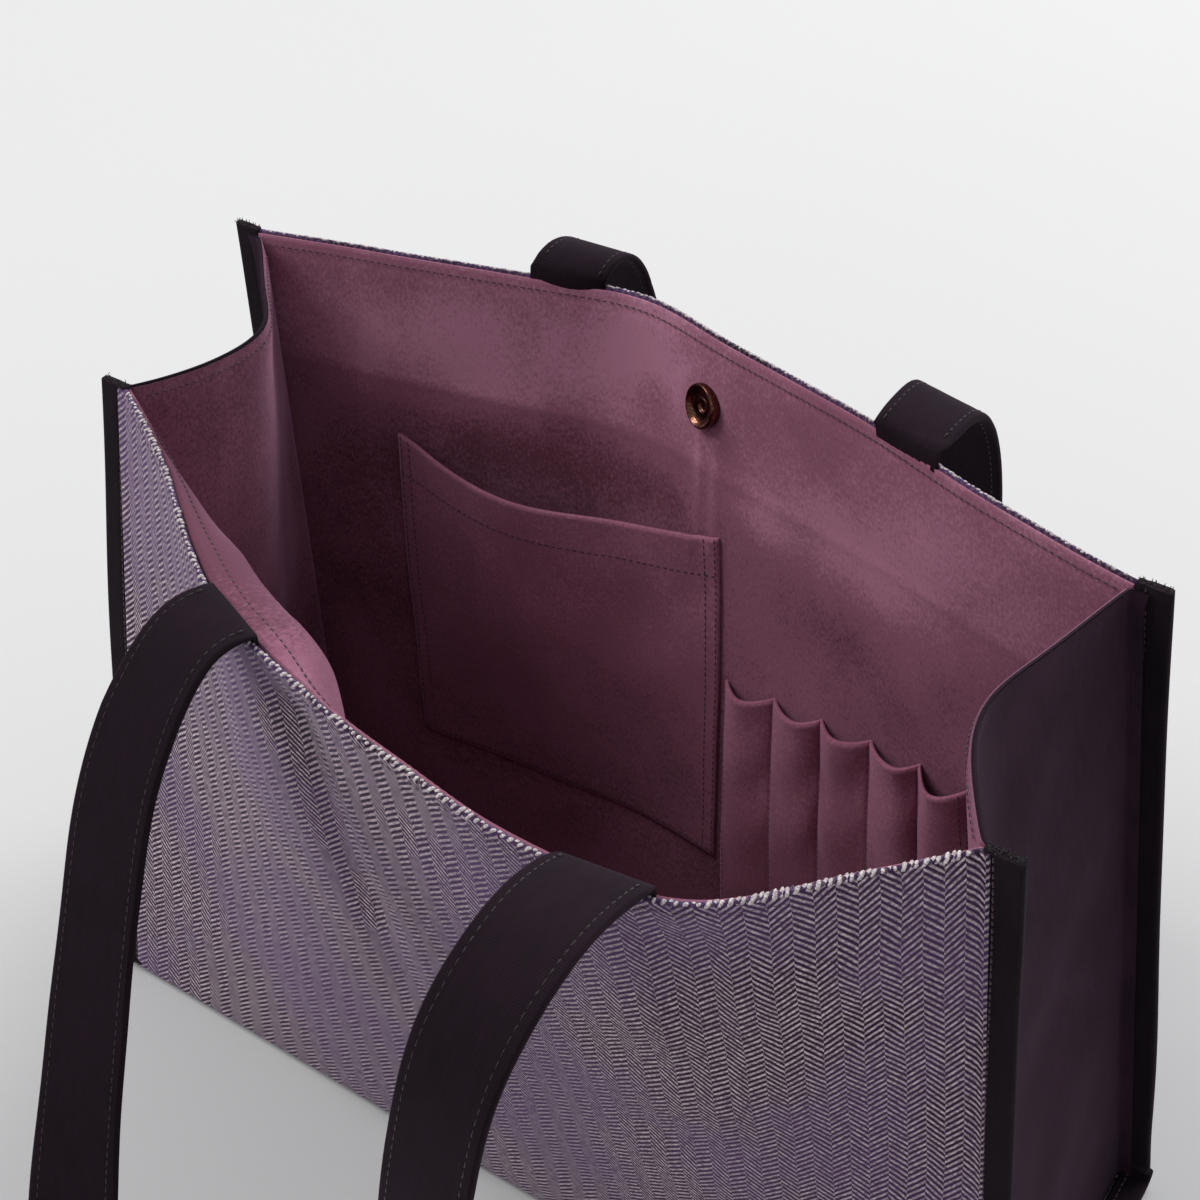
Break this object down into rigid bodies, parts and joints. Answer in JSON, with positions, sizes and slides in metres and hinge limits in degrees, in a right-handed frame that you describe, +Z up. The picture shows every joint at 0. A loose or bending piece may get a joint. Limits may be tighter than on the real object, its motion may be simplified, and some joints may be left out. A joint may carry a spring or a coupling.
{
  "type": "knitting bag",
  "caption": "Open upright tweed tote with soft gusset ends, two flat strap handles, faux-suede lining, a slip pocket, a strip of needle slots and a magnetic snap.",
  "frame": {"origin": "centre of the base's underside, on the surface the bag stands on", "axes": "+X to the bag's right seen from the front, -Y towards the front, +Z up"},
  "size_m": [0.4466, 0.496, 0.3055],
  "materials": {
    "tweed": "herringbone wool tweed, light heather and aubergine yarns",
    "canvas": "dark aubergine cotton canvas, matt",
    "lining": "brushed faux suede, mauve",
    "binding": "woven tape, near black, matt",
    "strap": "folded canvas webbing, top-stitched",
    "interlining": "non-woven interlining, pale",
    "board": "flat sheet, black",
    "snap_metal": "dark antique bronze, dished face",
    "magnet": "sintered ring magnet",
    "steel": "stamped washer"
  },
  "bodies": {
    "base": {"base_panel": "tweed", "base_board": "board", "base_lining": "lining", "left_base_tape": "binding", "right_base_tape": "binding", "left_gusset": "canvas", "left_gusset_lining": "lining", "right_gusset": "canvas", "right_gusset_lining": "lining"},
    "front_side": {"front_panel": "tweed", "front_interlining": "interlining", "front_lining": "lining", "front_left_tape": "binding", "front_right_tape": "binding", "front_left_strap_end": "strap", "front_right_strap_end": "strap", "front_snap_stud": "snap_metal", "front_snap_washer": "steel"},
    "rear_side": {"rear_panel": "tweed", "rear_interlining": "interlining", "rear_lining": "lining", "rear_left_tape": "binding", "rear_right_tape": "binding", "rear_left_strap_end": "strap", "rear_right_strap_end": "strap", "slip_pocket": "lining", "needle_pocket": "lining", "rear_snap_case": "snap_metal", "rear_snap_magnet": "magnet", "rear_snap_washer": "steel"},
    "front_handle": {"front_strap": "strap"},
    "rear_handle": {"rear_strap": "strap"}
  },
  "joints": [
    {"name": "front_close", "type": "hinge", "parent": "base", "child": "front_side", "pos_m": [0, -0.0683, 0], "axis": [-1, 0, 0], "range_deg": [0, 10], "deforming": ["left_gusset", "left_gusset_lining", "right_gusset", "right_gusset_lining"]},
    {"name": "rear_close", "type": "hinge", "parent": "base", "child": "rear_side", "pos_m": [0, 0.0683, 0], "axis": [1, 0, 0], "range_deg": [0, 10], "deforming": ["left_gusset", "left_gusset_lining", "right_gusset", "right_gusset_lining"]},
    {"name": "front_handle_swing", "type": "hinge", "parent": "front_side", "child": "front_handle", "pos_m": [-0.068, -0.11744, 0.29664], "axis": [-0.9873, 0.1555, 0.0317], "range_deg": [0, 146]},
    {"name": "rear_handle_swing", "type": "hinge", "parent": "rear_side", "child": "rear_handle", "pos_m": [-0.097, 0.10968, 0.29911], "axis": [0.9808, -0.1944, 0.0139], "range_deg": [0, 153]}
  ]
}
